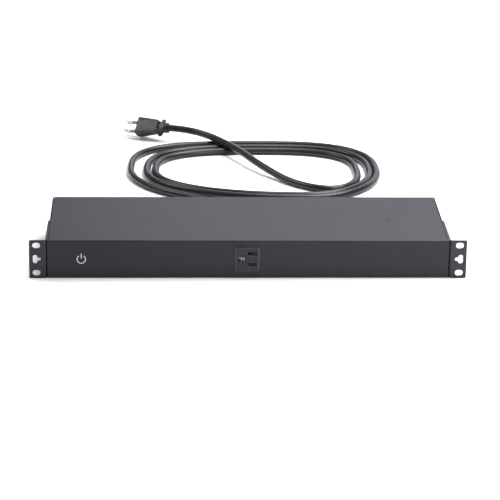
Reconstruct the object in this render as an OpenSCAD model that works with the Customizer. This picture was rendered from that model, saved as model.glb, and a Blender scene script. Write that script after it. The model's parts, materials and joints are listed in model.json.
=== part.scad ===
// Rack power strip, one rack unit high, with a mains cord and a moulded plug.
// The origin is on the surface that it stands on, under the middle of the strip.
// X runs along the front, Y from front to rear, Z up. All sizes are in millimetres.

/* [Chassis] */
// Width over the two end walls
body_w = 443; // [430:0.5:446]
// Height of the chassis and of the rack panel
body_h = 43.7; // [42.5:0.1:44.4]
// Depth from the front face to the rear face
body_d = 156; // [145:1:220]
// Thickness of the steel sheet
sheet = 1.2; // [1:0.1:1.5]
// Outside radius of the long bends
bend_r = 1.6; // [1.6:0.1:3]
// Width of the lips along the bottom
lip_w = 12; // [10:0.5:16]
// Gap between the shell and the end walls
seam = 0.5; // [0.3:0.1:0.8]

/* [Rack ears] */
// Width over the two ears, the rack panel's width
panel_w = 482.6; // [480:0.1:483]
// Thickness of the ears
ear_t = 2; // [1.5:0.1:2.5]
// How far the side flange runs back
flange_len = 71; // [58:1:90]
// Rack hole spacing across the panel
rack_pitch_x = 465.1; // [464:0.1:466]
// Rack hole spacing up the panel
rack_pitch_z = 31.75; // [31.6:0.05:31.9]
// Length of a rack slot
slot_len = 8.8; // [8:0.1:10]
// Height of a rack slot
slot_h = 6.8; // [6.2:0.1:7]

/* [Outlets] */
// Number of outlets at the rear
rear_outlets = 7; // [1:1:7]
// Distance from one rear outlet to the next
rear_pitch = 45; // [40:1:46]
// Place of the front outlet along X
front_outlet_x = -1.5; // [-20:0.5:20]
// Width of an outlet's face
face_w = 26.8; // [26:0.1:28]
// Height of an outlet's face
face_h = 28; // [27:0.1:30]
// How far an outlet's face stands off the sheet
face_proud = 1.6; // [1:0.1:3]
// Depth of an outlet's housing behind its face
housing_d = 26; // [22:0.5:30]

/* [Breaker] */
// Place of the breaker along X
breaker_x = 140; // [136:1:150]
// Diameter of the reset button
button_d = 6.45; // [6:0.05:6.5]
// How far the set button stands off the rear face
button_proud = 9.6; // [8.5:0.1:12]
// How far the button springs out when the breaker trips
button_travel = 3.5; // [2:0.1:5]

/* [Cord and plug] */
// Diameter of the cord's jacket
cord_d = 9; // [8:0.1:9.5]
// Place of the cord's exit along X
cord_x = 190; // [185:1:194]
// Length of the strain relief outside the rear face
relief_len = 32; // [24:1:40]
// Length of a plug blade
blade_len = 17.5; // [16:0.1:18.2]
// Length of the plug's ground pin
pin_len = 20.5; // [19:0.1:21]

/* [Hidden] */
$fn = 32;

// Front and rear faces: the strip's own box, without the cord, is centred on Y = 0
front_y = -(body_d + button_proud - face_proud) / 2;
rear_y = front_y + body_d;
mid_z = body_h / 2;
shell_w = body_w - 2 * (sheet + seam);
// A small overrun for cuts that pass right through
over = 1;

// Rack ears
ear_gap = 0.1;
ear_x = body_w / 2 + ear_gap;
ear_bend_r = 3.6;
ear_corner_r = 1.5;
flange_drop = 0.6;
// the rack slots lie a little outboard of the hole spacing
slot_out = 0.8;
key_slot_w = 5.2;
key_slot_h = 10.4;
key_lobe_d = 4;
key_slot_x = 234.7;
key_lobe_x = 230.4;
ear_screw_ys = [22, 52];
ear_screw_d = 4;
ear_screw_head_d = 8;
ear_screw_head_h = 2.6;
ear_nut_d = 8;
ear_nut_h = 2.4;

// Countersunk screws through the bottom lips
base_screw_xs = [-196, -98, 0, 98, 196];
base_screw_d = 3;
base_screw_head_d = 5.2;
base_screw_len = 5;
base_screw_inset = 7;
fit_gap = 0.05;

// Outlets: the blade slots lie to the right of the middle, the ground hole to the left
front_outlet_z = 22.2;
housing_w = 24.2;
housing_h = 25.2;
cutout_gap = 0.3;
housing_wall = 1.6;
face_wall = 3;
face_edge = 0.8;
blade_x = 5.9;
blade_z = 6.35;
ground_x = -6;
neutral_slot_w = 10;
line_slot_w = 8.8;
slot_t = 2.6;
slot_lead = 0.9;
ground_hole_r = 3;
tab_w = 6.3;
tab_t = 0.8;
tab_end = housing_d + 6.5;
first_rear_x = -190;
bus_w = 5;
bus_x0 = first_rear_x - 12;
bus_x1 = first_rear_x + (rear_outlets - 1) * rear_pitch + 14;
bus_y = rear_y + face_proud - housing_d - 3;

// Breaker
breaker_w = 15;
breaker_h = 28;
breaker_d = 24;
neck_d = 9.4;
neck_proud = 5.6;
bore_d = button_d + 0.15;
bore_depth = 14;
button_depth = button_travel + 4.5;
breaker_nut_w = 14;
breaker_nut_t = 2.2;
breaker_tab_z = 7;
breaker_tab_len = 8;

// Ground stud, clinched flush in the top
stud_x = 160;
stud_y = front_y + 73;
stud_head_d = 5.6;
stud_d = 4;
stud_len = 13;

// Cord entry
relief_z = mid_z;
relief_hole_d = 16;
jacket_in = 20;
wire_d = 3.4;
wire_spread = 2.2;

// The cord's route, from the plug to the coil and from the coil to the strain relief
cord_r = cord_d / 2;
plug_end = [-86.7, 440.1, 18.5];
plug_turn = [-42, 7, 155];
tail_route = [
    plug_end, [-75.4, 437.6, 18.3], [-63.7, 435.2, 17.4], [-50.7, 429.7, 16.3],
    [-37.8, 419.7, 15.2], [-26.4, 406.7, 14.5], [-17.4, 393.2, 14.2], [-8.2, 377.4, 14.1],
    [0.7, 360, 14], [9.6, 341.2, 13.5], [19.2, 321, 12.2], [28.7, 304.3, 10.4],
    [38.5, 289.6, 8.4], [48.8, 274.9, 6.4], [61, 258.6, 5], [77, 241.6, cord_r],
    [93, 230, cord_r], [110, 225, cord_r], [127, 230, cord_r], [141, 248, cord_r],
    [148, 272, cord_r], [149, 298, cord_r]
];
exit_route = [
    [-134, 298, cord_r], [-131.4, 280, cord_r], [-127.6, 266, cord_r], [-119.6, 248.8, cord_r],
    [-109.6, 233.4, cord_r], [-95.8, 218.4, cord_r], [-80, 205.4, cord_r], [-60, 191.8, cord_r],
    [-38, 177, cord_r], [-8, 164.6, cord_r], [26, 155, cord_r], [66, 149, cord_r],
    [104, 148, 5], [134, 147, 7], [158, 142, 11], [176, 131, 16],
    [187, 118, 20], [cord_x, 111, 21.6], [cord_x, rear_y + relief_len, relief_z]
];
// The coil's outermost places, turn by turn from the inside out
coil_mid_y = 298;
coil_back_x = 30;
coil_front_x = 80;
coil_right = [149, 165, 174];
coil_back = [384, 399, 414];
coil_left = [-103, -114, -134];
coil_front = [199, 189];
back_power = 2.8;
outer_corner_power = 3.3;
front_power = 2;
front_left_power = 2.2;
quarter_steps = 10;

// Plug, drawn from the cord's end along X, with the blades' own line at blade_line
plug_len = 43;
blade_line = 4;
plug_face_w = 25.6;
plug_top = 5.4;
plug_side = 7.2;
plug_foot = 17.4;
plug_foot_w = 13;
plug_waist_x = 14;
plug_waist_w = 18;
plug_flare_x = 9;
plug_flare_w = 27;
plug_collar_d = 13.6;
blade_gap = 6.35;
blade_t = 1.5;
line_blade_w = 6.35;
neutral_blade_w = 7.9;
pin_drop = 11.9;
pin_d = 4.75;

// ---------- shared shapes ----------

// A rectangle with its low corner at the origin and all four corners rounded
module rounded_rect(w, h, r) {
    translate([r, 0]) square([w - 2 * r, h]);
    translate([0, r]) square([w, h - 2 * r]);
    for (x = [r, w - r]) for (y = [r, h - r]) translate([x, y]) circle(r);
}

// A slot with round ends, w by h over all, standing or lying
module obround(w, h) {
    r = min(w, h) / 2;
    square([max(w - 2 * r, 0.01), max(h - 2 * r, 0.01)], center = true);
    if (w > h) {
        square([w - 2 * r, h], center = true);
        for (s = [-1, 1]) translate([s * (w / 2 - r), 0]) circle(r);
    } else {
        square([w, h - 2 * r], center = true);
        for (s = [-1, 1]) translate([0, s * (h / 2 - r)]) circle(r);
    }
}

// Extrude a Y-Z outline along X, centred
module along_x(len) {
    rotate([90, 0, 90]) linear_extrude(len, center = true) children();
}

// Extrude an X-Z outline along Y, from y to y + len
module along_y(y, len) {
    translate([0, y + len, 0]) rotate([90, 0, 0]) linear_extrude(len) children();
}

// A round bar along Y, from y to y + len
module rod_y(d, y, len) {
    translate([0, y, 0]) rotate([-90, 0, 0]) cylinder(len, d = d);
}

// ---------- swept tubes ----------

function unit(v) = v / norm(v);
function heading(p, i) = unit(p[min(i + 1, len(p) - 1)] - p[max(i - 1, 0)]);
function ring(p, t, r, sides) =
    let (s = unit(cross(t, [0, 0, 1])), u = cross(s, t))
    [for (k = [0 : sides - 1]) p + r * (cos(360 * k / sides) * s + sin(360 * k / sides) * u)];

// A closed skin over a row of rings that have the same number of points
module skin(rings) {
    n = len(rings);
    sides = len(rings[0]);
    walls = [for (i = [0 : n - 2]) for (k = [0 : sides - 1])
        let (a = i * sides + k, b = i * sides + (k + 1) % sides)
        each [[a, b, b + sides], [a, b + sides, a + sides]]];
    start_cap = [for (k = [0 : sides - 1]) sides - 1 - k];
    end_cap = [for (k = [0 : sides - 1]) (n - 1) * sides + k];
    polyhedron([for (r = rings) each r], concat([start_cap], walls, [end_cap]), convexity = 6);
}

// A tube of diameter d along the points of route
module tube(route, d, sides) {
    skin([for (i = [0 : len(route) - 1]) ring(route[i], heading(route, i), d / 2, sides)]);
}

// ---------- chassis ----------

// Front, top and rear walls with a lip along each bottom edge, in Y-Z
module shell_section() {
    difference() {
        rounded_rect(body_d, body_h, bend_r);
        translate([sheet, sheet])
            rounded_rect(body_d - 2 * sheet, body_h - 2 * sheet, bend_r - sheet);
        translate([lip_w, -over]) square([body_d - 2 * lip_w, 2 * sheet + over]);
    }
}

module outlet_cutout() {
    w = housing_w + 2 * cutout_gap;
    h = housing_h + 2 * cutout_gap;
    square([w, h], center = true);
}

function rear_outlet_x(i) = first_rear_x + (i - 1) * rear_pitch;

module chassis_shell() {
    color("#26262a") difference() {
        translate([0, front_y, 0]) {
            along_x(shell_w) shell_section();
            along_x(body_w) intersection() {
                shell_section();
                square([bend_r, body_h]);
            }
        }
        translate([front_outlet_x, 0, front_outlet_z])
            along_y(front_y - over, sheet + 2 * over) outlet_cutout();
        for (i = [1 : rear_outlets])
            translate([rear_outlet_x(i), 0, mid_z])
                along_y(rear_y - sheet - over, sheet + 2 * over) outlet_cutout();
        translate([breaker_x, 0, mid_z])
            rod_y(neck_d + 4 * fit_gap, rear_y - sheet - over, sheet + 2 * over);
        translate([cord_x, 0, relief_z])
            rod_y(relief_hole_d, rear_y - sheet - over, sheet + 2 * over);
        translate([stud_x, stud_y, body_h - sheet - over])
            cylinder(sheet + 2 * over, d = stud_head_d + 2 * fit_gap);
        base_screw_places() {
            translate([0, 0, -over]) cylinder(sheet + 2 * over, d = base_screw_d + 2 * fit_gap);
            translate([0, 0, -fit_gap]) countersink(base_screw_head_d + 2 * fit_gap);
        }
    }
}

// The bottom plate lies on the lips, and its ends are bent up into the end walls
module base_tray() {
    inner = sheet + 0.6;
    color("#2a2a2e") difference() {
        union() {
            translate([0, front_y + inner, 0]) along_y(0, body_d - 2 * inner) tray_section();
            for (s = [-1, 1])
                translate([s * (body_w - sheet) / 2, 0, 0]) end_wall();
        }
        base_screw_places()
            translate([0, 0, sheet - over / 2])
                cylinder(sheet + over, d = base_screw_d + 2 * fit_gap);
        for (s = [-1, 1]) ear_screw_places(s)
            translate([0, 0, -over - sheet])
                cylinder(2 * sheet + 2 * over, d = ear_screw_d + 2 * fit_gap);
    }
}

// Bottom plate and two upturned ends, in X-Z
module tray_section() {
    translate([-body_w / 2, 0]) difference() {
        translate([0, sheet]) rounded_rect(body_w, body_h - sheet, bend_r);
        translate([sheet, 2 * sheet])
            rounded_rect(body_w - 2 * sheet, body_h + over, bend_r - sheet);
        translate([-over, body_h - 3 * bend_r]) square([body_w + 2 * over, 4 * bend_r]);
    }
}

// The upper part of an end wall, reaching past the bottom plate to the rear face
module end_wall() {
    y0 = front_y + bend_r + 0.2;
    translate([-sheet / 2, y0, 3 * bend_r])
        cube([sheet, rear_y - y0, body_h - 3 * bend_r]);
}

// ---------- rack ears ----------

// The right ear seen from above: panel, bend and side flange
module ear_plan() {
    translate([ear_x, front_y]) {
        translate([0, ear_bend_r]) square([ear_t, flange_len - ear_bend_r]);
        translate([ear_bend_r, 0]) square([panel_w / 2 - ear_x - ear_bend_r, ear_t]);
        intersection() {
            translate([ear_bend_r, ear_bend_r]) difference() {
                circle(ear_bend_r);
                circle(ear_bend_r - ear_t);
            }
            square(ear_bend_r);
        }
    }
}

module keyhole() {
    translate([key_slot_x, 0]) obround(key_slot_w, key_slot_h);
    translate([key_lobe_x, 0]) circle(d = key_lobe_d);
    translate([key_lobe_x, -key_lobe_d / 2]) square([key_slot_x - key_lobe_x, key_lobe_d]);
}

// Everything of the ear that is left, seen from the front
module ear_front() {
    translate([ear_x - over, 0]) square([panel_w / 2 - ear_x + over - ear_corner_r, body_h]);
    translate([ear_x, ear_corner_r])
        square([panel_w / 2 - ear_x, body_h - 2 * ear_corner_r]);
    for (z = [ear_corner_r, body_h - ear_corner_r])
        translate([panel_w / 2 - ear_corner_r, z]) circle(ear_corner_r);
}

module rack_ear() {
    difference() {
        intersection() {
            linear_extrude(body_h) ear_plan();
            along_y(front_y - over, flange_len + 2 * over) ear_front();
        }
        for (z = [-1, 1])
            translate([rack_pitch_x / 2 + slot_out, 0, mid_z + z * rack_pitch_z / 2])
                along_y(front_y - over, ear_t + 2 * over) obround(slot_len, slot_h);
        translate([0, 0, mid_z]) along_y(front_y - over, ear_t + 2 * over) keyhole();
        // the flange is a little lower than the panel
        for (z = [-over, body_h - flange_drop])
            translate([ear_x - over, front_y + ear_bend_r + 1, z])
                cube([ear_bend_r + 2 * over, flange_len, flange_drop + over]);
        ear_screw_places(1) translate([0, 0, -over])
            cylinder(ear_t + 2 * over, d = ear_screw_d + 2 * fit_gap);
    }
}

module left_rack_ear() {
    color("#303034") mirror([1, 0, 0]) rack_ear();
}

module right_rack_ear() {
    color("#303034") rack_ear();
}

// The places of one ear's screws, with Z pointing out of the side and 0 at the end wall
module ear_screw_places(side) {
    for (y = ear_screw_ys)
        translate([side * body_w / 2, front_y + y, mid_z])
            rotate([0, side * 90, 0]) children();
}

// A Phillips recess cut from the top of a head at z
module cross_recess(z, reach, depth) {
    for (a = [0, 90]) translate([0, 0, z]) rotate([0, 0, a])
        cube([reach, 1, 2 * depth], center = true);
}

module ear_screws() {
    seat = ear_gap + ear_t;
    color("#3a3a3e") for (s = [-1, 1]) ear_screw_places(s) difference() {
        union() {
            translate([0, 0, -sheet - ear_nut_h])
                cylinder(sheet + ear_nut_h + seat, d = ear_screw_d);
            rotate_extrude() pan_head(seat);
        }
        cross_recess(seat + ear_screw_head_h, 4.4, 1.5);
    }
}

// Half of a pan head's outline, from its seat up
module pan_head(seat) {
    crown = 0.9;
    translate([0, seat]) polygon([
        [0, 0], [ear_screw_head_d / 2, 0],
        [ear_screw_head_d / 2, ear_screw_head_h - crown],
        [ear_screw_head_d / 2 - 0.5, ear_screw_head_h - crown / 3],
        [ear_screw_head_d / 2 - 1.4, ear_screw_head_h],
        [0, ear_screw_head_h]
    ]);
}

module ear_nuts() {
    color("silver") for (s = [-1, 1]) ear_screw_places(s)
        translate([0, 0, -sheet - ear_nut_h]) difference() {
            cylinder(ear_nut_h, d = ear_nut_d, $fn = 6);
            translate([0, 0, -over])
                cylinder(ear_nut_h + 2 * over, d = ear_screw_d + 2 * fit_gap);
        }
}

module base_screw_places() {
    for (x = base_screw_xs)
        for (y = [front_y + base_screw_inset, rear_y - base_screw_inset])
            translate([x, y, 0]) children();
}

module countersink(d) {
    cylinder((d - base_screw_d) / 2, d1 = d, d2 = base_screw_d);
}

module base_screws() {
    color("#3a3a3e") base_screw_places() difference() {
        union() {
            countersink(base_screw_head_d);
            cylinder(base_screw_len, d = base_screw_d);
        }
        cross_recess(0, 3, 0.9);
    }
}

// ---------- outlets ----------
// An outlet's own frame: its face is at y = 0 and looks along -Y, its middle is at x = z = 0

// A plate from y = 0 to t whose front edges are cut back by c
module edged_plate(w, h, t, c) {
    intersection() {
        translate([0, 0, -h / 2]) linear_extrude(h)
            polygon([[-w / 2 + c, 0], [w / 2 - c, 0], [w / 2, c], [w / 2, t], [-w / 2, t], [-w / 2, c]]);
        along_x(w)
            polygon([[0, -h / 2 + c], [c, -h / 2], [t, -h / 2], [t, h / 2], [c, h / 2], [0, h / 2 - c]]);
    }
}

// A blade slot with a sloping lead-in
module blade_slot(w) {
    translate([blade_x, 0, 0]) {
        translate([0, face_wall / 2, 0]) cube([w, face_wall + 2 * over, slot_t], center = true);
        along_x(w) polygon([
            [-over, -slot_t / 2 - slot_lead - over], [slot_lead, -slot_t / 2],
            [slot_lead, slot_t / 2], [-over, slot_t / 2 + slot_lead + over]
        ]);
    }
}

// The ground hole, round towards the blades and flat on the other side
module ground_hole() {
    along_y(-over, face_wall + 2 * over) translate([ground_x, 0]) {
        circle(ground_hole_r);
        translate([-ground_hole_r - 0.7, -ground_hole_r])
            square([ground_hole_r + 0.7, 2 * ground_hole_r]);
    }
}

module outlet_housing() {
    catch_y = face_proud + sheet + 0.1;
    difference() {
        union() {
            edged_plate(face_w, face_h, face_proud, face_edge);
            translate([-housing_w / 2, face_proud, -housing_h / 2])
                cube([housing_w, housing_d - face_proud, housing_h]);
            // spring catches that hold the housing behind the sheet
            for (s = [-1, 1]) scale_x(s)
                translate([0, 0, -5]) linear_extrude(10) polygon([
                    [housing_w / 2 - 0.2, catch_y], [housing_w / 2 + 1.1, catch_y],
                    [housing_w / 2, catch_y + 6], [housing_w / 2 - 0.2, catch_y + 6]
                ]);
        }
        translate([-housing_w / 2 + housing_wall, face_wall, -housing_h / 2 + housing_wall])
            cube([housing_w - 2 * housing_wall, housing_d, housing_h - 2 * housing_wall]);
        translate([0, 0, blade_z]) blade_slot(neutral_slot_w);
        translate([0, 0, -blade_z]) blade_slot(line_slot_w);
        ground_hole();
    }
}

// Mirror the children to the left side when s is -1
module scale_x(s) {
    if (s < 0) mirror([1, 0, 0]) children();
    else children();
}

// Two leaves that pinch a blade, bridged at the rear, and a tab out of the back
module blade_contact() {
    leaf_w = 7;
    leaf_t = 0.6;
    pinch = 1.2;
    leaf_y0 = face_wall + 1;
    leaf_y1 = 19;
    for (s = [-1, 1])
        translate([-leaf_w / 2, leaf_y0, s * (pinch + leaf_t) / 2 - leaf_t / 2])
            cube([leaf_w, leaf_y1 - leaf_y0, leaf_t]);
    translate([-leaf_w / 2, leaf_y1 - leaf_t, -pinch / 2 - leaf_t])
        cube([leaf_w, leaf_t, pinch + 2 * leaf_t]);
    translate([-tab_w / 2, leaf_y1 - leaf_t, -tab_t / 2])
        cube([tab_w, tab_end - leaf_y1 + leaf_t, tab_t]);
}

// A split sleeve round the ground pin and a tab out of the back
module ground_contact() {
    sleeve_d = 6.6;
    sleeve_bore = 4.6;
    sleeve_y0 = face_wall + 0.2;
    sleeve_len = 11;
    difference() {
        rod_y(sleeve_d, sleeve_y0, sleeve_len + 1);
        rod_y(sleeve_bore, sleeve_y0 - over, sleeve_len + over);
        translate([-sleeve_d, sleeve_y0 - over, -1.1]) cube([sleeve_d, sleeve_len + over, 2.2]);
        // the split side stands back from the hole
        translate([-sleeve_d, sleeve_y0 - over, -sleeve_d]) cube([sleeve_d, 3 + over, 2 * sleeve_d]);
    }
    translate([-tab_w / 2, sleeve_y0 + sleeve_len + 0.5, -tab_t / 2])
        cube([tab_w, tab_end - sleeve_y0 - sleeve_len - 0.5, tab_t]);
}

module outlet_contacts() {
    translate([blade_x, 0, blade_z]) blade_contact();
    translate([blade_x, 0, -blade_z]) blade_contact();
    translate([ground_x, 0, 0]) ground_contact();
}

// The cap that closes the back of a housing round the three tabs
module outlet_cap() {
    cap_t = 1.6;
    w = housing_w - 2 * housing_wall - 0.2;
    h = housing_h - 2 * housing_wall - 0.2;
    difference() {
        translate([-w / 2, housing_d - cap_t - 0.2, -h / 2]) cube([w, cap_t, h]);
        for (p = [[blade_x, blade_z], [blade_x, -blade_z], [ground_x, 0]])
            translate([p[0], housing_d - cap_t / 2, p[1]])
                cube([tab_w + 0.4, 2 * cap_t, tab_t + 0.4], center = true);
    }
}

module at_front_outlet() {
    translate([front_outlet_x, front_y - face_proud, front_outlet_z]) children();
}

module at_rear_outlet(i) {
    if (i <= rear_outlets)
        translate([rear_outlet_x(i), rear_y + face_proud, mid_z]) rotate([0, 0, 180]) children();
}

module front_outlet_housing() {
    color("#1f1f22") at_front_outlet() outlet_housing();
}

module front_outlet_contacts() {
    color("#b9babd") at_front_outlet() outlet_contacts();
}

module front_outlet_cap() {
    color("#3b3b3f") at_front_outlet() outlet_cap();
}

module rear_outlet_housing(i) {
    color("#1f1f22") at_rear_outlet(i) outlet_housing();
}

module rear_outlet_contacts(i) {
    color("#b9babd") at_rear_outlet(i) outlet_contacts();
}

module rear_outlet_cap(i) {
    color("#3b3b3f") at_rear_outlet(i) outlet_cap();
}

// A copper strip welded to one face of every rear tab; z0 is the strip's lower face
module bus_strip(z0) {
    color("#b87333") translate([bus_x0, bus_y - bus_w / 2, z0])
        cube([bus_x1 - bus_x0, bus_w, tab_t]);
}

module line_bus() {
    bus_strip(mid_z - blade_z - 1.5 * tab_t);
}

module neutral_bus() {
    bus_strip(mid_z + blade_z + tab_t / 2);
}

module ground_bus() {
    bus_strip(mid_z + tab_t / 2);
}

// ---------- breaker ----------

module at_breaker() {
    translate([breaker_x, rear_y, mid_z]) children();
}

module breaker_body() {
    color("#18181a") at_breaker() difference() {
        union() {
            translate([-breaker_w / 2, -sheet - breaker_d, -breaker_h / 2])
                cube([breaker_w, breaker_d, breaker_h]);
            rod_y(neck_d, -sheet - 1, sheet + 1 + neck_proud);
        }
        rod_y(bore_d, -bore_depth, bore_depth + neck_proud + over);
    }
}

module breaker_nut() {
    color("#b8bcc0") at_breaker() difference() {
        union() {
            rotate([-90, 0, 0]) cylinder(breaker_nut_t, d = breaker_nut_w, $fn = 6);
            rod_y(breaker_nut_w - 1, 0, 0.6);
        }
        rod_y(neck_d + 2 * fit_gap, -over, breaker_nut_t + 2 * over);
    }
}

module breaker_button() {
    bevel = 0.7;
    color("#e8e8e4") at_breaker() rotate([-90, 0, 0]) {
        translate([0, 0, -button_depth])
            cylinder(button_depth + button_proud - bevel, d = button_d);
        translate([0, 0, button_proud - bevel])
            cylinder(bevel, d1 = button_d, d2 = button_d - 2 * bevel);
    }
}

module breaker_terminals() {
    color("#d8d2c0") at_breaker() for (s = [-1, 1])
        translate([-tab_w / 2, -sheet - breaker_d - breaker_tab_len, s * breaker_tab_z - tab_t / 2])
            cube([tab_w, breaker_tab_len, tab_t]);
}

// ---------- cord entry and grounding ----------

// The strain relief's half outline: flange, neck, inner lock and a ribbed tapering boot
module strain_relief() {
    flange_d = 20;
    flange_t = 3;
    lock_d = 18;
    lock_t = 3;
    boot_d0 = 15;
    boot_d1 = 11.4;
    ribs = 5;
    rib_pitch = (relief_len - flange_t - 3) / ribs;
    boot_r = function (u) (boot_d0 + (boot_d1 - boot_d0) * u / (relief_len - flange_t)) / 2;
    groove = 0.9;
    color("#161618") translate([cord_x, rear_y, relief_z]) rotate([-90, 0, 0]) difference() {
        union() {
            translate([0, 0, -sheet - lock_t]) cylinder(lock_t, d = lock_d);
            translate([0, 0, -sheet - 1]) cylinder(sheet + 2, d = relief_hole_d - 0.4);
            cylinder(flange_t, d = flange_d);
            translate([0, 0, flange_t - 1]) cylinder(1, d = flange_d);
            rotate_extrude() translate([0, flange_t]) polygon(concat(
                [[0, -0.5], [boot_r(0), -0.5]],
                [for (k = [0 : ribs - 1]) each [
                    [boot_r(k * rib_pitch), (k + 0.55) * rib_pitch],
                    [boot_r(k * rib_pitch) - groove, (k + 0.62) * rib_pitch],
                    [boot_r(k * rib_pitch) - groove, (k + 0.93) * rib_pitch],
                    [boot_r((k + 1) * rib_pitch), (k + 1) * rib_pitch]]],
                [[boot_d1 / 2, relief_len - flange_t], [0, relief_len - flange_t]]
            ));
        }
        translate([0, 0, -sheet - lock_t - over])
            cylinder(relief_len + sheet + lock_t + 2 * over, d = cord_d + 2 * fit_gap);
    }
}

// The straight end of the jacket, through the strain relief and into the chassis
module cord_jacket() {
    color("#1a1a1c") translate([cord_x, 0, relief_z])
        rod_y(cord_d, rear_y - jacket_in, jacket_in + relief_len);
}

module ground_stud() {
    color("#7d8084") translate([stud_x, stud_y, 0]) {
        translate([0, 0, body_h - sheet]) cylinder(sheet, d = stud_head_d);
        translate([0, 0, body_h - sheet - stud_len]) cylinder(stud_len, d = stud_d);
    }
}

ring_t = 0.8;
ring_z = body_h - sheet - 3.5;
ring_d = 8.4;

module ring_terminal() {
    color("#d8d2c0") translate([stud_x, stud_y, ring_z]) difference() {
        union() {
            cylinder(ring_t, d = ring_d);
            translate([-2, 0, 0]) cube([4, 9, ring_t]);
            translate([-9, -2, 0]) cube([9, 4, ring_t]);
        }
        translate([0, 0, -over]) cylinder(ring_t + 2 * over, d = stud_d + 2 * fit_gap);
    }
}

module ground_nut() {
    nut_t = 3.2;
    color("silver") translate([stud_x, stud_y, ring_z - nut_t]) difference() {
        cylinder(nut_t, d = 8.1, $fn = 6);
        translate([0, 0, -over]) cylinder(nut_t + 2 * over, d = stud_d + 2 * fit_gap);
    }
}

// ---------- wires ----------
// Each wire is a list of places; it meets its two terminals square on

module wire(route, shade) {
    color(shade) tube(route, wire_d, 8);
}

jacket_y = rear_y - jacket_in;
breaker_tab_y = rear_y - sheet - breaker_d - breaker_tab_len;
front_tab_y = front_y - face_proud + tab_end;
bus_end_x = bus_x1;

module line_wire() {
    z = relief_z - wire_spread;
    wire([[cord_x - wire_spread, jacket_y, z], [cord_x - wire_spread, jacket_y - 8, z],
        [cord_x - 6, jacket_y - 22, z], [cord_x - 18, jacket_y - 34, z - 1],
        [breaker_x + 20, jacket_y - 38, z - 3], [breaker_x + 8, jacket_y - 36, 15.5],
        [breaker_x + 1, jacket_y - 27, mid_z - breaker_tab_z],
        [breaker_x, breaker_tab_y - 6, mid_z - breaker_tab_z],
        [breaker_x, breaker_tab_y, mid_z - breaker_tab_z]], "#1c1c1e");
}

module load_wire() {
    top = mid_z + breaker_tab_z;
    low = mid_z - blade_z - tab_t;
    wire([[breaker_x, breaker_tab_y, top], [breaker_x, breaker_tab_y - 8, top],
        [breaker_x - 4, breaker_tab_y - 18, top - 1.4], [breaker_x - 14, breaker_tab_y - 23, top - 5],
        [breaker_x - 24, breaker_tab_y - 19, top - 9], [bus_end_x + 16, bus_y - 15, low + 1.4],
        [bus_end_x + 12, bus_y - 6, low], [bus_end_x + 7, bus_y, low], [bus_end_x, bus_y, low]],
        "#1c1c1e");
}

module neutral_wire() {
    z = relief_z + wire_spread;
    high = mid_z + blade_z + tab_t;
    wire([[cord_x - wire_spread, jacket_y, z], [cord_x - wire_spread, jacket_y - 8, z],
        [cord_x - 8, jacket_y - 30, z], [cord_x - 30, jacket_y - 62, z - 2],
        [breaker_x - 2, jacket_y - 70, z - 1], [breaker_x - 24, jacket_y - 50, z + 2],
        [bus_end_x + 18, bus_y - 6, high], [bus_end_x + 8, bus_y, high], [bus_end_x, bus_y, high]],
        "#e6e6e2");
}

module ground_wire() {
    z = ring_z + ring_t / 2;
    wire([[cord_x + wire_spread, jacket_y, relief_z], [cord_x + wire_spread, jacket_y - 8, relief_z],
        [cord_x, jacket_y - 24, relief_z + 2], [cord_x - 8, jacket_y - 34, relief_z + 8],
        [stud_x + 10, stud_y + 24, z - 4], [stud_x + 2, stud_y + 18, z],
        [stud_x, stud_y + 13, z], [stud_x, stud_y + 9, z]], "#2f7d3a");
}

module bond_wire() {
    z = ring_z + ring_t / 2;
    end_z = mid_z + tab_t;
    wire([[stud_x - 9, stud_y, z], [stud_x - 15, stud_y, z], [stud_x - 24, stud_y + 5, z - 1.4],
        [stud_x - 30, stud_y + 19, z - 5], [bus_end_x + 27, bus_y - 18, end_z + 5],
        [bus_end_x + 16, bus_y - 6, end_z + 1], [bus_end_x + 8, bus_y, end_z],
        [bus_end_x, bus_y, end_z]], "#2f7d3a");
}

// A wire from a front outlet's tab back to a rear bus, which it meets from the front
module front_wire(x, z, bus_z, x_end, shade) {
    y0 = front_tab_y;
    y1 = bus_y - bus_w / 2;
    wire([[x, y0, z], [x, y0 + 8, z], [x - 3, y0 + 22, z], [(x + x_end) / 2, (y0 + y1) / 2, (z + bus_z) / 2],
        [x_end + 3, y1 - 20, bus_z], [x_end, y1 - 8, bus_z], [x_end, y1, bus_z]], shade);
}

module front_line_wire() {
    front_wire(front_outlet_x + blade_x, front_outlet_z - blade_z,
        mid_z - blade_z - tab_t, -28, "#1c1c1e");
}

module front_neutral_wire() {
    front_wire(front_outlet_x + blade_x, front_outlet_z + blade_z,
        mid_z + blade_z + tab_t, -28, "#e6e6e2");
}

module front_ground_wire() {
    front_wire(front_outlet_x + ground_x, front_outlet_z, mid_z + tab_t, -34, "#2f7d3a");
}

// ---------- cord ----------

// A quarter of an oval from p towards q; it leaves p along Y when side is true, else along X
function quarter(p, q, power, side) =
    let (c = side ? [q[0], p[1]] : [p[0], q[1]])
    [for (k = [0 : quarter_steps - 1])
        let (a = 90 * k / quarter_steps,
             u = pow(side ? cos(a) : sin(a), 2 / power),
             v = pow(side ? sin(a) : cos(a), 2 / power),
             far = side ? [p[0], q[1]] : [q[0], p[1]])
        [c[0] + (far[0] - c[0]) * u, c[1] + (far[1] - c[1]) * v]];

// corner is the power of the oval's left back quarter
function oval(right, back, left, front, corner) = concat(
    quarter([right, coil_mid_y], [coil_back_x, back], back_power, true),
    quarter([coil_back_x, back], [left, coil_mid_y], corner, false),
    quarter([left, coil_mid_y], [coil_front_x, front], front_left_power, true),
    quarter([coil_front_x, front], [right, coil_mid_y], front_power, false));

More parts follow.
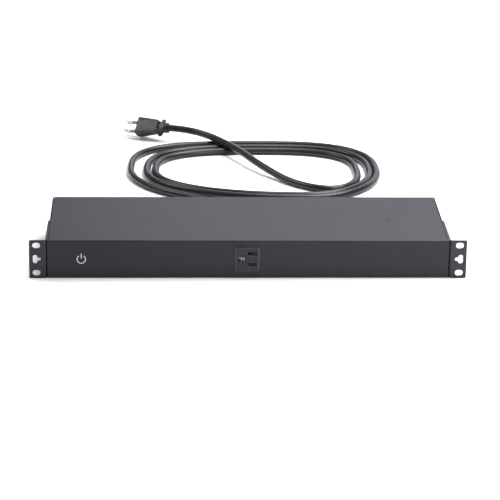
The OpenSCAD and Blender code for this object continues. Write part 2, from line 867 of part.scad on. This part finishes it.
// The space that the coil's turns fill, lying on the surface
module cord_coil() {
    color("#1a1a1c") linear_extrude(cord_d) difference() {
        polygon(oval(coil_right[2] + cord_r, coil_back[2] + cord_r,
            coil_left[2] - cord_r, coil_front[1] - cord_r, outer_corner_power));
        polygon(oval(coil_right[0] - cord_r, coil_back[0] - cord_r,
            coil_left[0] + cord_r, coil_front[0] + cord_r, back_power));
    }
}

module cord_exit() {
    color("#1a1a1c") tube(exit_route, cord_d, 10);
}

module cord_tail() {
    color("#1a1a1c") tube(tail_route, cord_d, 10);
}

// ---------- plug ----------
// The plug's own frame: the cord enters at the origin, the blades point along +X,
// and the blades lie side by side along Y

module at_plug() {
    translate(plug_end) rotate(plug_turn) children();
}

function arc(c, r, a0, a1) = [for (k = [0 : 2])
    let (a = a0 + (a1 - a0) * k / 2) [c[0] + r * cos(a), c[1] + r * sin(a)]];

// Both halves of an outline in Y-Z, placed at x
function both_sides(x, z, half) = concat(
    [for (p = half) [x, p[0], z + p[1]]],
    [for (i = [len(half) - 1 : -1 : 0]) [x, -half[i][0], z + half[i][1]]]);

function round_slice(x, d) =
    both_sides(x, 0, [for (a = [80 : -20 : -80]) [cos(a), sin(a)] * d / 2]);

// A slice of the body: flat top, upright sides and a narrower rounded foot
function plug_slice(x, w, top, side, foot, foot_w, r) =
    let (n = -atan2((w - foot_w) / 2, foot - side))
    both_sides(x, blade_line, concat(
        arc([w / 2 - r, top - r], r, 90, 0),
        arc([w / 2 - r, r - side], r, 0, n),
        arc([foot_w / 2 - r, r - foot], r, n, -90)));

// A slice of the finger grip that stands out on both sides of the neck
function grip_slice(x, w, h) = [for (a = [10 : 20 : 350])
    [x, -w / 2 * cos(a), 0.5 + h / 2 * sin(a)]];

module plug_body() {
    edge = 1.2;
    pocket_w = 2.2;
    color("#232327") at_plug() difference() {
        union() {
            skin([
                round_slice(0, plug_collar_d), round_slice(3, plug_collar_d),
                round_slice(3.8, plug_collar_d - 1.6),
                plug_slice(plug_waist_x - 3, 15, 3.2, 3, 11, 7, 1.8),
                plug_slice(plug_waist_x, plug_waist_w, plug_top - 1, 3.6, 12.6, 8, 2),
                plug_slice(plug_len - edge, plug_face_w, plug_top, plug_side, plug_foot, plug_foot_w, 2),
                plug_slice(plug_len, plug_face_w - edge, plug_top - edge / 2, plug_side, plug_foot - edge,
                    plug_foot_w - edge, 1.6)
            ]);
            skin([
                grip_slice(plug_flare_x - 3.4, 18, 3.6), grip_slice(plug_flare_x - 2, plug_flare_w - 2, 5.6),
                grip_slice(plug_flare_x, plug_flare_w, 6.4),
                grip_slice(plug_flare_x + 2, plug_flare_w - 2, 5.6), grip_slice(plug_flare_x + 3.4, 18, 3.6)
            ]);
        }
        // two moulding pockets in the neck
        for (s = [-1, 1])
            translate([plug_waist_x - 3.1, s * 2.6 - pocket_w / 2, 4.3]) cube([2.4, pocket_w, 8]);
    }
}

module plug_blades() {
    color("#c8c9cc") at_plug() {
        plug_blade(-blade_gap, neutral_blade_w);
        plug_blade(blade_gap, line_blade_w);
    }
}

// A flat blade with a tapered tip and its hole
module plug_blade(y, w) {
    tip = 2;
    hole_d = 3.2;
    hole_x = 11.4;
    translate([plug_len, y, blade_line]) difference() {
        translate([0, blade_t / 2, 0]) rotate([90, 0, 0]) linear_extrude(blade_t) polygon([
            [0, -w / 2], [blade_len - tip, -w / 2], [blade_len, -w / 2 + tip / 2],
            [blade_len, w / 2 - tip / 2], [blade_len - tip, w / 2], [0, w / 2]]);
        translate([hole_x, -over - blade_t, 0]) rod_y(hole_d, 0, 2 * blade_t + 2 * over);
    }
}

module plug_ground_pin() {
    color("#c8c9cc") at_plug() translate([plug_len, 0, blade_line - pin_drop]) rotate([0, 90, 0]) {
        cylinder(pin_len - pin_d / 2, d = pin_d);
        translate([0, 0, pin_len - pin_d / 2]) sphere(d = pin_d);
    }
}

chassis_shell();
base_tray();
left_rack_ear();
right_rack_ear();
ear_screws();
ear_nuts();
base_screws();
front_outlet_housing();
front_outlet_contacts();
front_outlet_cap();
for (i = [1 : 7]) {
    rear_outlet_housing(i);
    rear_outlet_contacts(i);
    rear_outlet_cap(i);
}
line_bus();
neutral_bus();
ground_bus();
breaker_body();
breaker_nut();
breaker_button();
breaker_terminals();
strain_relief();
cord_jacket();
line_wire();
load_wire();
neutral_wire();
ground_wire();
bond_wire();
front_line_wire();
front_neutral_wire();
front_ground_wire();
ground_stud();
ground_nut();
ring_terminal();
cord_exit();
cord_coil();
cord_tail();
plug_body();
plug_blades();
plug_ground_pin();
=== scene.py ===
import json
import math

import bmesh
import bpy
from mathutils import Euler, Matrix, Vector


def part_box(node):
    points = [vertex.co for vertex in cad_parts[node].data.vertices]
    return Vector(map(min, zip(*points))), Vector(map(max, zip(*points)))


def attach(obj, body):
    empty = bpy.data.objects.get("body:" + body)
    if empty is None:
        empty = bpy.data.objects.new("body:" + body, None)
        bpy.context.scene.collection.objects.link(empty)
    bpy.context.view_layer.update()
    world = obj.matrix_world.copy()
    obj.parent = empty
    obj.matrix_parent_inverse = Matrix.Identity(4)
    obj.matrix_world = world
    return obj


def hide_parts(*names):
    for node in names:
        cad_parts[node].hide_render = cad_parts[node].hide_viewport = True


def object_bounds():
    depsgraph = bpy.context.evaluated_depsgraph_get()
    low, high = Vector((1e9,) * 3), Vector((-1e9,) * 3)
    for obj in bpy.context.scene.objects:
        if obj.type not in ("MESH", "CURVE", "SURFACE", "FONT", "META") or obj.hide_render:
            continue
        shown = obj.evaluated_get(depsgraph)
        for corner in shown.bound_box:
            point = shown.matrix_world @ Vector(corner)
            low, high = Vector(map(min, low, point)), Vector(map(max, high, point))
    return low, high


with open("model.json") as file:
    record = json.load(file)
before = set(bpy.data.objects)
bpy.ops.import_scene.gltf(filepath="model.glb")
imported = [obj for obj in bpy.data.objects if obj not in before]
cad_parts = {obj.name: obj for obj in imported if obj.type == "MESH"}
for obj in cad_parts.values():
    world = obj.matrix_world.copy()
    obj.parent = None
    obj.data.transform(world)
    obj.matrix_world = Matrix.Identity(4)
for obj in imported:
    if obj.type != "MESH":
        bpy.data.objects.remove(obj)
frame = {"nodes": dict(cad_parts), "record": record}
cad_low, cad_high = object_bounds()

NODES = frame["nodes"]
RECORD = frame["record"]
CHASSIS = "chassis"
MM = 0.001

scene = bpy.context.scene
scene.view_settings.view_transform = "Standard"
scene.view_settings.look = "None"


# ---------- camera ----------

CAMERA_PLACE = (-0.0978, -2.5731, 0.9069)
CAMERA_TURN = (2.281, 19.321, 0.77)  # yaw, pitch and roll, in degrees
CAMERA_LENS = 172.8
CAMERA_SENSOR = 36
CAMERA_REACH = 50


def add_camera():
    """From the front, a little left of the middle, looking down."""
    yaw, pitch, roll = (math.radians(turn) for turn in CAMERA_TURN)
    ahead = Vector((math.sin(yaw) * math.cos(pitch), math.cos(yaw) * math.cos(pitch),
                    -math.sin(pitch)))
    level = Vector((math.cos(yaw), -math.sin(yaw), 0))
    upright = level.cross(ahead)
    right = math.cos(roll) * level + math.sin(roll) * upright
    up = -math.sin(roll) * level + math.cos(roll) * upright
    data = bpy.data.cameras.new("camera")
    data.lens = CAMERA_LENS
    data.sensor_width = CAMERA_SENSOR
    data.clip_end = CAMERA_REACH
    camera = bpy.data.objects.new("camera", data)
    scene.collection.objects.link(camera)
    matrix = Matrix((right, up, -ahead)).transposed().to_4x4()
    matrix.translation = Vector(CAMERA_PLACE)
    camera.matrix_world = matrix
    scene.camera = camera


add_camera()


# ---------- cord ----------

CORD_R = 0.0045
CORD_AROUND = 20
QUARTER_STEPS = 10
STEPS_PER_SPAN = 4
PLUG_END = (-0.0867, 0.4401, 0.0185)


def tail_route():
    """From the plug over the turns and down into the coil, in mm."""
    r = CORD_R / MM
    return [
        tuple(v / MM for v in PLUG_END),
        (-75.4, 437.6, 18.3), (-63.7, 435.2, 17.4), (-50.7, 429.7, 16.3), (-37.8, 419.7, 15.2),
        (-26.4, 406.7, 14.5), (-17.4, 393.2, 14.2), (-8.2, 377.4, 14.1), (0.7, 360, 14),
        (9.6, 341.2, 13.5), (19.2, 321, 12.2), (28.7, 304.3, 10.4), (38.5, 289.6, 8.4),
        (48.8, 274.9, 6.4), (61, 258.6, 5), (77, 241.6, r), (93, 230, r), (110, 225, r),
        (127, 230, r), (141, 248, r), (148, 272, r)]


def exit_route():
    """From the coil behind the strip to its strain relief, in mm."""
    r = CORD_R / MM
    return [
        (-134, 298, r), (-131.4, 280, r), (-127.6, 266, r), (-119.6, 248.8, r), (-109.6, 233.4, r),
        (-95.8, 218.4, r), (-80, 205.4, r), (-60, 191.8, r), (-38, 177, r), (-8, 164.6, r),
        (26, 155, r), (66, 149, r), (104, 148, 5), (134, 147, 7), (158, 142, 11), (176, 131, 16),
        (187, 118, 20), (190, 111, 21.6), (190, 106, 21.85)]


def quarter(p, q, power, side):
    """A quarter of an oval from p towards q, leaving p along Y when side is true, else along X."""
    centre = (q[0], p[1]) if side else (p[0], q[1])
    far = (p[0], q[1]) if side else (q[0], p[1])
    points = []
    for k in range(QUARTER_STEPS):
        a = math.pi / 2 * k / QUARTER_STEPS
        u = (math.cos(a) if side else math.sin(a)) ** (2 / power)
        v = (math.sin(a) if side else math.cos(a)) ** (2 / power)
        points.append((centre[0] + (far[0] - centre[0]) * u,
                       centre[1] + (far[1] - centre[1]) * v, CORD_R / MM))
    return points


def coil_route():
    """The loose turns, from the inside out, in mm."""
    mid_y, back_x, front_x = 298, 30, 80
    right, left = (149, 165, 174), (-103, -114, -134)
    back, front = (384, 399, 414), (199, 189)
    back_right, back_left, front_left, front_right = 2.8, (2.8, 2.8, 3.3), 2.2, 2
    points = []
    for i in range(3):
        points += quarter((right[i], mid_y), (back_x, back[i]), back_right, True)
        points += quarter((back_x, back[i]), (left[i], mid_y), back_left[i], False)
        if i < 2:
            points += quarter((left[i], mid_y), (front_x, front[i]), front_left, True)
            points += quarter((front_x, front[i]), (right[i + 1], mid_y), front_right, False)
    return points


def cord_route():
    return [Vector(p) * MM for p in tail_route() + coil_route() + exit_route()]


def smooth_line(points):
    """A Catmull-Rom line through the points, in equal steps from each to the next."""
    line = []
    for i in range(len(points) - 1):
        a, b, c, d = (points[min(max(i + k, 0), len(points) - 1)] for k in (-1, 0, 1, 2))
        for k in range(STEPS_PER_SPAN):
            t = k / STEPS_PER_SPAN
            line.append(0.5 * (2 * b + (c - a) * t + (2 * a - 5 * b + 4 * c - d) * t ** 2
                               + (3 * b - a - 3 * c + d) * t ** 3))
    return line + [points[-1]]


def rings_along(line, radius, around):
    """Rings square to a line, each turned as little as possible from the one before."""
    rings = []
    side = None
    for i, place in enumerate(line):
        ahead = (line[min(i + 1, len(line) - 1)] - line[max(i - 1, 0)]).normalized()
        side = ahead.cross(Vector((0, 0, 1))) if side is None else side - side.dot(ahead) * ahead
        side = side.normalized()
        up = ahead.cross(side)
        angles = (2 * math.pi * k / around for k in range(around))
        rings.append([place + radius * (math.cos(a) * side + math.sin(a) * up) for a in angles])
    return rings


def add_rings(bm, rings, closed=False):
    """Faces over a row of rings with as many points each, joined end to end or capped."""
    rows = [[bm.verts.new(p) for p in ring] for ring in rings]
    around = len(rows[0])
    for a, b in zip(rows, rows[1:] + rows[:1] if closed else rows[1:]):
        for k in range(around):
            n = (k + 1) % around
            bm.faces.new((a[k], a[n], b[n], b[k]))
    if not closed:
        for row in (rows[0], rows[-1]):
            middle = bm.verts.new(sum((v.co for v in row), Vector()) / around)
            for k in range(around):
                bm.faces.new((row[k], middle, row[(k + 1) % around]))


def placed(name, bm, sharp=40):
    """The object made from bm, smooth up to the angle sharp."""
    bmesh.ops.recalc_face_normals(bm, faces=bm.faces)
    data = bpy.data.meshes.new(name)
    bm.to_mesh(data)
    bm.free()
    data.shade_smooth()
    data.set_sharp_from_angle(angle=math.radians(sharp))
    made = bpy.data.objects.new(name, data)
    scene.collection.objects.link(made)
    return made


def add_cord(line):
    bm = bmesh.new()
    add_rings(bm, rings_along(line, CORD_R, CORD_AROUND))
    cord = placed("cord_lead", bm, 60)
    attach(cord, CHASSIS)
    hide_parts("cord_exit", "cord_coil", "cord_tail")
    return cord


cord_line = smooth_line(cord_route())
cord = add_cord(cord_line)


# ---------- materials ----------

NOISE_DETAIL = 3
FINE_ROUGHNESS = 0.6
NOISE_LOW, NOISE_HIGH = 0.3, 0.7  # nearly all of a noise texture's values lie between these


def node(tree, kind, **settings):
    made = tree.nodes.new(kind)
    for name, value in settings.items():
        setattr(made, name, value)
    return made


def noise(tree, scale, roughness=0.5):
    made = node(tree, "ShaderNodeTexNoise")
    made.inputs["Scale"].default_value = scale
    made.inputs["Detail"].default_value = NOISE_DETAIL
    made.inputs["Roughness"].default_value = roughness
    tree.links.new(tree.nodes["coordinates"].outputs["Object"], made.inputs["Vector"])
    return made.outputs["Fac"]


def spread(tree, fac, low, high):
    """A noise value spread out to the range from low to high."""
    made = node(tree, "ShaderNodeMapRange")
    for name, value in (("From Min", NOISE_LOW), ("From Max", NOISE_HIGH), ("To Min", low),
                        ("To Max", high)):
        made.inputs[name].default_value = value
    tree.links.new(fac, made.inputs["Value"])
    return made.outputs["Result"]


def between(tree, fac, first, second):
    made = node(tree, "ShaderNodeMix", data_type="RGBA")
    made.inputs["A"].default_value = (*first, 1)
    made.inputs["B"].default_value = (*second, 1)
    tree.links.new(fac, made.inputs["Factor"])
    return made.outputs["Result"]


def surface(name, dark, light, rough, metallic=0.0, patch=60, grain=1500, grain_depth=0.00004,
            bump=0.3, specular=0.5):
    """dark and light are the two ends of the colour, rough those of the roughness.

    patch and grain are the scales of the cloudy and of the fine noise.
    """
    made = bpy.data.materials.new(name)
    made.use_nodes = True
    tree = made.node_tree
    shader = tree.nodes["Principled BSDF"]
    node(tree, "ShaderNodeTexCoord").name = "coordinates"
    cloudy = noise(tree, patch)
    fine = noise(tree, grain, FINE_ROUGHNESS)
    both = node(tree, "ShaderNodeMath", operation="MULTIPLY_ADD")
    tree.links.new(fine, both.inputs[0])
    both.inputs[1].default_value = 0.5
    half = node(tree, "ShaderNodeMath", operation="MULTIPLY")
    tree.links.new(cloudy, half.inputs[0])
    half.inputs[1].default_value = 0.5
    tree.links.new(half.outputs[0], both.inputs[2])
    colour = between(tree, spread(tree, both.outputs[0], 0, 1), dark, light)
    tree.links.new(colour, shader.inputs["Base Color"])
    tree.links.new(spread(tree, cloudy, *rough), shader.inputs["Roughness"])
    shader.inputs["Metallic"].default_value = metallic
    shader.inputs["Specular IOR Level"].default_value = specular
    bumped = node(tree, "ShaderNodeBump")
    bumped.inputs["Strength"].default_value = bump
    bumped.inputs["Distance"].default_value = grain_depth
    tree.links.new(fine, bumped.inputs["Height"])
    tree.links.new(bumped.outputs["Normal"], shader.inputs["Normal"])
    return made


LOOKS = {
    "powder_coat": surface("fine_powder_coat", (0.008, 0.0085, 0.012), (0.013, 0.014, 0.020),
                           (0.40, 0.43), patch=18, grain=1300, grain_depth=0.00015, bump=0.5,
                           specular=0.22),
    "ear_coat": surface("fine_powder_coat_ears", (0.009, 0.0095, 0.013), (0.014, 0.015, 0.021),
                        (0.39, 0.43), patch=30, grain=1300, grain_depth=0.00015, bump=0.5,
                        specular=0.30),
    "black_screw": surface("black_oxide_steel", (0.02, 0.02, 0.022), (0.045, 0.045, 0.05),
                           (0.28, 0.45), metallic=0.8, patch=300, grain=2500),
    "zinc_steel": surface("zinc_plate", (0.50, 0.51, 0.53), (0.66, 0.67, 0.69), (0.25, 0.42),
                          metallic=1, patch=250, grain=2600),
    "outlet_nylon": surface("black_nylon", (0.008, 0.008, 0.011), (0.012, 0.012, 0.016),
                            (0.24, 0.30), patch=120, grain=2200, grain_depth=0.00002,
                            specular=0.24),
    "cap_nylon": surface("matt_black_nylon", (0.03, 0.03, 0.033), (0.045, 0.045, 0.05),
                         (0.5, 0.62), patch=120, grain=2200),
    "contact_nickel": surface("nickel_contact", (0.62, 0.61, 0.60), (0.76, 0.75, 0.73),
                              (0.18, 0.32), metallic=1, patch=200, grain=2400),
    "copper": surface("bare_copper", (0.58, 0.30, 0.17), (0.76, 0.44, 0.28), (0.25, 0.42),
                      metallic=1, patch=90, grain=2200),
    "breaker_plastic": surface("black_phenolic", (0.014, 0.014, 0.016), (0.022, 0.022, 0.024),
                               (0.24, 0.34), patch=150, grain=2300, grain_depth=0.00002),
    "button_plastic": surface("white_button", (0.72, 0.72, 0.69), (0.80, 0.80, 0.77), (0.25, 0.34),
                              patch=200, grain=2500, grain_depth=0.00001),
    "tinned_brass": surface("tin_plate", (0.62, 0.61, 0.58), (0.74, 0.73, 0.70), (0.22, 0.38),
                            metallic=1, patch=200, grain=2400),
    "relief_rubber": surface("strain_relief_vinyl", (0.014, 0.014, 0.016), (0.024, 0.024, 0.027),
                             (0.42, 0.55), patch=200, grain=1900, grain_depth=0.00006),
    "cord_jacket": surface("cord_vinyl", (0.006, 0.006, 0.007), (0.011, 0.011, 0.013),
                           (0.27, 0.31), patch=90, grain=2000, grain_depth=0.00001, bump=0.12,
                           specular=0.32),
    "wire_black": surface("black_insulation", (0.012, 0.012, 0.014), (0.02, 0.02, 0.022),
                          (0.35, 0.45), patch=200, grain=2400, grain_depth=0.00002),
    "wire_white": surface("white_insulation", (0.70, 0.70, 0.67), (0.80, 0.80, 0.77), (0.35, 0.45),
                          patch=200, grain=2400, grain_depth=0.00002),
    "wire_green": surface("green_insulation", (0.035, 0.24, 0.06), (0.055, 0.31, 0.09),
                          (0.35, 0.45), patch=200, grain=2400, grain_depth=0.00002),
    "plug_rubber": surface("plug_vinyl", (0.009, 0.009, 0.011), (0.016, 0.016, 0.019),
                           (0.36, 0.46), patch=160, grain=1700, grain_depth=0.00006, specular=0.4),
    "blade_nickel": surface("nickel_plate", (0.34, 0.33, 0.31), (0.46, 0.45, 0.42), (0.22, 0.34),
                            metallic=1, patch=220, grain=2500),
}


def dress(obj, look):
    obj.data.materials.clear()
    obj.data.materials.append(look)


for part in RECORD["subparts"]:
    dress(NODES[part["node"]], LOOKS[part["material_slot"]])
dress(cord, LOOKS["cord_jacket"])


# ---------- plug ----------

PLUG_TURN = Matrix.LocRotScale(
    Vector(PLUG_END), Euler([math.radians(a) for a in (-42, 7, 155)], "XYZ"), None)
# Along the plug from its cord end, and across it, in mm
PLUG_LEN = 43.0
PLUG_STEP = 0.3
PLUG_AROUND = 128
COLLAR_END, COLLAR_R, COLLAR_TAPER = 4.2, 6.8, 0.9
GROOVES, GROOVE_DEPTH, GROOVE_HALF = (1.2, 2.4), 0.35, 0.3
GRIP_X, GRIP_HALF_LEN = 9.0, 3.4
NECK_CORNERS, BODY_CORNERS, BODY_FROM = 9, 14, 14
FLARE_FROM, END_ROUND = 11, 1.2
POCKET_DEPTH, INSET_DEPTH = 2.6, 0.5
# Each side's distance from the middle: at the neck, what the body adds and what the flare adds
TOP, SIDE, FOOT, FLANK = (6.6, 0.6, 1.9), (6.4, 2.2, 4.0), (6.6, 1.6, 4.9), (6.5, 1.0, 4.0)


def outline(angle, planes, power):
    """How far from the middle a rounded outline is in that direction.

    planes are (normal angle, distance), and a higher power makes sharper corners.
    """
    total = 0
    for normal, away in planes:
        facing = math.cos(angle - normal)
        if facing > 0:
            total += (facing / away) ** power
    return total ** (-1 / power)


def blend_step(x, start, end):
    t = min(max((x - start) / (end - start), 0), 1)
    return t * t * (3 - 2 * t)


def body_planes(x):
    """Flat top, upright sides, and a foot narrower than the top, growing towards the blades."""
    flared = min(max((x - FLARE_FROM) / (PLUG_LEN - END_ROUND - FLARE_FROM), 0), 1)
    full = blend_step(x, 9.5, 14.5)
    top, side, foot, flank = (neck + body * full + flare * flared
                              for neck, body, flare in (TOP, SIDE, FOOT, FLANK))
    up, slope = math.pi / 2, math.radians(-28)
    return [(up, top), (0, side), (math.pi, side), (-up, foot), (slope, flank),
            (math.pi - slope, flank)]


def plug_radius(x, angle):
    """How far the plug's surface is from its middle line, at x along it."""
    if x < COLLAR_END:
        r = COLLAR_R - COLLAR_TAPER * blend_step(x, 3.0, 3.8)
    else:
        r = outline(angle, body_planes(x), NECK_CORNERS if x < BODY_FROM else BODY_CORNERS)
    from_grip = abs(x - GRIP_X)
    if from_grip < GRIP_HALF_LEN:
        swell = math.sqrt(1 - (from_grip / GRIP_HALF_LEN) ** 2)
        half_w, half_h = 9.6 + 3.9 * swell, 1.4 + 1.9 * swell
        y, z = math.cos(angle), math.sin(angle)
        grip = 1 / math.sqrt((y / half_w) ** 2 + (z / half_h) ** 2)
        r = (r ** 8 + grip ** 8) ** (1 / 8)
    y, z = r * math.cos(angle), r * math.sin(angle)
    # the two pockets in the neck and the flat inset on top
    if z > 0 and 10.6 < x < 13.8 and 1.2 < abs(y) < 4.2:
        r -= POCKET_DEPTH
    if z > 0:
        inset = blend_step(x, 17, 17.6) * (1 - blend_step(x, 39, 39.6))
        inset *= 1 - blend_step(abs(y), 8.2, 8.8)
        r -= INSET_DEPTH * inset / max(math.sin(angle), 0.3)
    # the rounded edge round the blades' face
    if x > PLUG_LEN - END_ROUND:
        past = x - PLUG_LEN + END_ROUND
        r -= END_ROUND - math.sqrt(max(END_ROUND ** 2 - past ** 2, 0))
    # grooves round the collar
    for groove in GROOVES:
        r -= GROOVE_DEPTH * max(0, 1 - abs(x - groove) / GROOVE_HALF)
    return r


def add_plug():
    count = int(PLUG_LEN / PLUG_STEP)
    steps = [PLUG_STEP * k for k in range(count)] + [PLUG_LEN - 0.05, PLUG_LEN]
    rings = []
    for x in steps:
        ring = []
        for k in range(PLUG_AROUND):
            a = 2 * math.pi * k / PLUG_AROUND
            r = plug_radius(x, a)
            ring.append(PLUG_TURN @ (Vector((x, r * math.cos(a), r * math.sin(a))) * MM))
        rings.append(ring)
    bm = bmesh.new()
    add_rings(bm, rings)
    plug = placed("plug_moulding", bm)
    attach(plug, CHASSIS)
    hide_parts("plug_body")
    dress(plug, LOOKS["plug_rubber"])
    return plug


plug = add_plug()


# ---------- small details ----------

def add_power_mark():
    """A plain printed power symbol, an open ring with a bar, thin on the front at the left."""
    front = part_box("left_rack_ear")[0].y
    thick, gap = 0.00005, 0.00001
    middle = Vector((-0.184, front - thick - gap, 0.022))
    outer, inner = 0.0052, 0.0040
    half_bar, bar_foot, bar_top = 0.0006, 0.0008, 0.0064
    bm = bmesh.new()
    start, end, steps = math.radians(125), math.radians(415), 58
    rows = []
    for k in range(steps + 1):
        a = start + (end - start) * k / steps
        way = Vector((math.cos(a), 0, math.sin(a)))
        rows.append([bm.verts.new(middle + way * r) for r in (inner, outer)])
    for a, b in zip(rows, rows[1:]):
        bm.faces.new((a[0], a[1], b[1], b[0]))
    corners = [(-half_bar, bar_foot), (half_bar, bar_foot), (half_bar, bar_top),
               (-half_bar, bar_top)]
    bm.faces.new([bm.verts.new(middle + Vector((x, 0, z))) for x, z in corners])
    made = bmesh.ops.extrude_face_region(bm, geom=bm.faces[:])
    moved = [v for v in made["geom"] if isinstance(v, bmesh.types.BMVert)]
    bmesh.ops.translate(bm, vec=(0, thick, 0), verts=moved)
    mark = placed("power_mark", bm)
    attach(mark, CHASSIS)
    dress(mark, surface("grey_print", (0.34, 0.34, 0.35), (0.44, 0.44, 0.45), (0.5, 0.6),
                        patch=400, grain=2600, grain_depth=0.00001))


def add_thread():
    """Ridges round the breaker's neck, from its nut out to the neck's end."""
    low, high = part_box("breaker_body")
    middle_x, middle_z = (low.x + high.x) / 2, (low.z + high.z) / 2
    inside, root, crest, pitch = 0.0042, 0.00462, 0.00488, 0.0009
    nut_gap, end_gap, around = 0.0001, 0.0004, 64
    start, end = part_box("breaker_nut")[1].y + nut_gap, high.y - end_gap
    ridge = (root, crest, crest, root)
    steps = int((end - start) / pitch) * len(ridge)
    section = [(start + (end - start) * k / steps, ridge[k % len(ridge)])
               for k in range(steps + 1)] + [(end, inside), (start, inside)]
    turn = [2 * math.pi * i / around for i in range(around)]
    rings = [[Vector((middle_x + r * math.cos(a), y, middle_z + r * math.sin(a))) for a in turn]
             for y, r in section]
    bm = bmesh.new()
    add_rings(bm, rings, closed=True)
    thread = placed("breaker_thread", bm, 25)
    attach(thread, CHASSIS)
    dress(thread, LOOKS["breaker_plastic"])


def add_stud_ring():
    """A faint raised ring round the clinched stud in the top, darker than the coat: painted shade
    of the narrow gap round the stud.
    """
    low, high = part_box("ground_stud")
    middle = Vector(((low.x + high.x) / 2, (low.y + high.y) / 2, high.z))
    ring_r, half_wide, half_high = 0.0029, 0.0003, 0.00015
    steps, around = 48, 10
    turn = [2 * math.pi * i / around for i in range(around)]
    rings = []
    for k in range(steps):
        a = 2 * math.pi * k / steps
        out = Vector((math.cos(a), math.sin(a), 0))
        centre = middle + out * ring_r
        rings.append([centre + half_wide * math.cos(b) * out
                      + Vector((0, 0, half_high * math.sin(b))) for b in turn])
    bm = bmesh.new()
    add_rings(bm, rings, closed=True)
    ring = placed("stud_ring", bm, 60)
    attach(ring, CHASSIS)
    # near-black colour: painted shade of the gap round the stud, not a colour of the coat
    dress(ring, surface("stud_gap_painted_shade", (0.004, 0.004, 0.005), (0.007, 0.007, 0.008), (0.5, 0.6),
                        patch=400, grain=2200, grain_depth=0.00001, specular=0.1))


def bead(line, radius, closed=False):
    """Rings of a thin round bead along a line in an outlet's own face plane, X and Z."""
    around = 10
    out = Vector((0, -1, 0))
    rings = []
    for i, place in enumerate(line):
        if closed:
            ahead = line[(i + 1) % len(line)] - line[i - 1]
        else:
            ahead = line[min(i + 1, len(line) - 1)] - line[max(i - 1, 0)]
        side = ahead.normalized().cross(out)
        angles = [2 * math.pi * k / around for k in range(around)]
        rings.append([place + radius * (math.cos(a) * side + math.sin(a) * out) for a in angles])
    return rings


def add_outlet_edges(node, towards, look):
    """The moulded rounding of an outlet's face: its rim and its three openings' lower lips."""
    low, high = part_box(node)
    face = low.y if towards < 0 else high.y
    middle_x, middle_z = (low.x + high.x) / 2, (low.z + high.z) / 2
    half_w, half_h, corner = 12.78, 13.38, 0.9
    rim_r, rim_sunk, lip_r, lip_sunk = 0.5, 0.55, 0.42, 0.36
    blades_up, lip_below, steps = 6.35, 2.08, 4
    rim = []
    for sx, sz, start in ((1, 1, 0), (-1, 1, 90), (-1, -1, 180), (1, -1, 270)):
        for k in range(steps + 1):
            a = math.radians(start + 90 / steps * k)
            rim.append(Vector((sx * (half_w - corner) + corner * math.cos(a), rim_sunk,
                               sz * (half_h - corner) + corner * math.sin(a))))
    bm = bmesh.new()
    parts = [(bead(rim, rim_r, True), True)]
    for left, right, z in ((0.9, 10.9, blades_up - lip_below), (1.5, 10.3, -blades_up - lip_below),
                           (-9.6, -6.2, -3.3)):
        line = [Vector((left + (right - left) * k / steps, lip_sunk, z)) for k in range(steps + 1)]
        parts.append((bead(line, lip_r), False))
    for rings, closed in parts:
        add_rings(bm, [[Vector((middle_x - towards * p.x * MM, face - towards * p.y * MM,
                                middle_z + p.z * MM)) for p in ring] for ring in rings], closed)
    edges = placed(node + "_edges", bm, 60)
    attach(edges, CHASSIS)
    dress(edges, look)


add_power_mark()
add_thread()
add_stud_ring()
# Same nylon as the outlets but lighter in colour: a painted highlight along the rims and the
# openings' lower lips
edge_highlight_look = surface("nylon_edges_painted_highlight", (0.022, 0.022, 0.027), (0.034, 0.034, 0.040), (0.16, 0.22),
                    patch=300, grain=2400, grain_depth=0.00001, specular=0.9)
add_outlet_edges("front_outlet_housing", -1, edge_highlight_look)
for number in range(1, 8):
    add_outlet_edges(f"rear_outlet_housing_{number}", 1, edge_highlight_look)


# ---------- floor and light ----------

def add_floor():
    data = bpy.data.meshes.new("floor")
    half, below = 6, 0.0002
    data.from_pydata([(-half, -half, 0), (half, -half, 0), (half, half, 0), (-half, half, 0)], [],
                     [(0, 1, 2, 3)])
    floor = bpy.data.objects.new("floor", data)
    floor.location.z = cad_low.z - below
    scene.collection.objects.link(floor)
    look = bpy.data.materials.new("floor_paper")
    look.use_nodes = True
    shader = look.node_tree.nodes["Principled BSDF"]
    shader.inputs["Base Color"].default_value = (0.93, 0.93, 0.93, 1)
    shader.inputs["Roughness"].default_value = 0.9
    shader.inputs["Specular IOR Level"].default_value = 0.1
    dress(floor, look)


def add_light(name, place, aim, size, power, colour=(1, 1, 1)):
    data = bpy.data.lights.new(name, "AREA")
    data.shape = "RECTANGLE"
    data.size, data.size_y = size
    data.energy = power
    data.color = colour
    light = bpy.data.objects.new(name, data)
    scene.collection.objects.link(light)
    light.location = place
    light.rotation_euler = (Vector(aim) - Vector(place)).to_track_quat("-Z", "Y").to_euler()


def add_world():
    world = bpy.data.worlds.new("studio")
    world.use_nodes = True
    back = world.node_tree.nodes["Background"]
    back.inputs["Color"].default_value = (0.98, 0.97, 1.0, 1)
    back.inputs["Strength"].default_value = 0.31
    scene.world = world


add_floor()
add_world()
add_light("overhead", (0.55, 0.38, 1.35), (0, 0.15, 0), (1.6, 0.9), 48, (0.98, 0.98, 1.0))
add_light("behind", (1.2, 3.0, 1.2), (0, 0.2, 0), (3.6, 1.5), 23, (0.93, 0.90, 1.0))
add_light("right_front", (0.66, -0.85, 0.32), (0.24, -0.1, 0), (0.45, 0.45), 9)
add_light("left_high", (-1.0, 0.60, 1.3), (-0.13, 0.30, 0), (0.7, 0.7), 9)
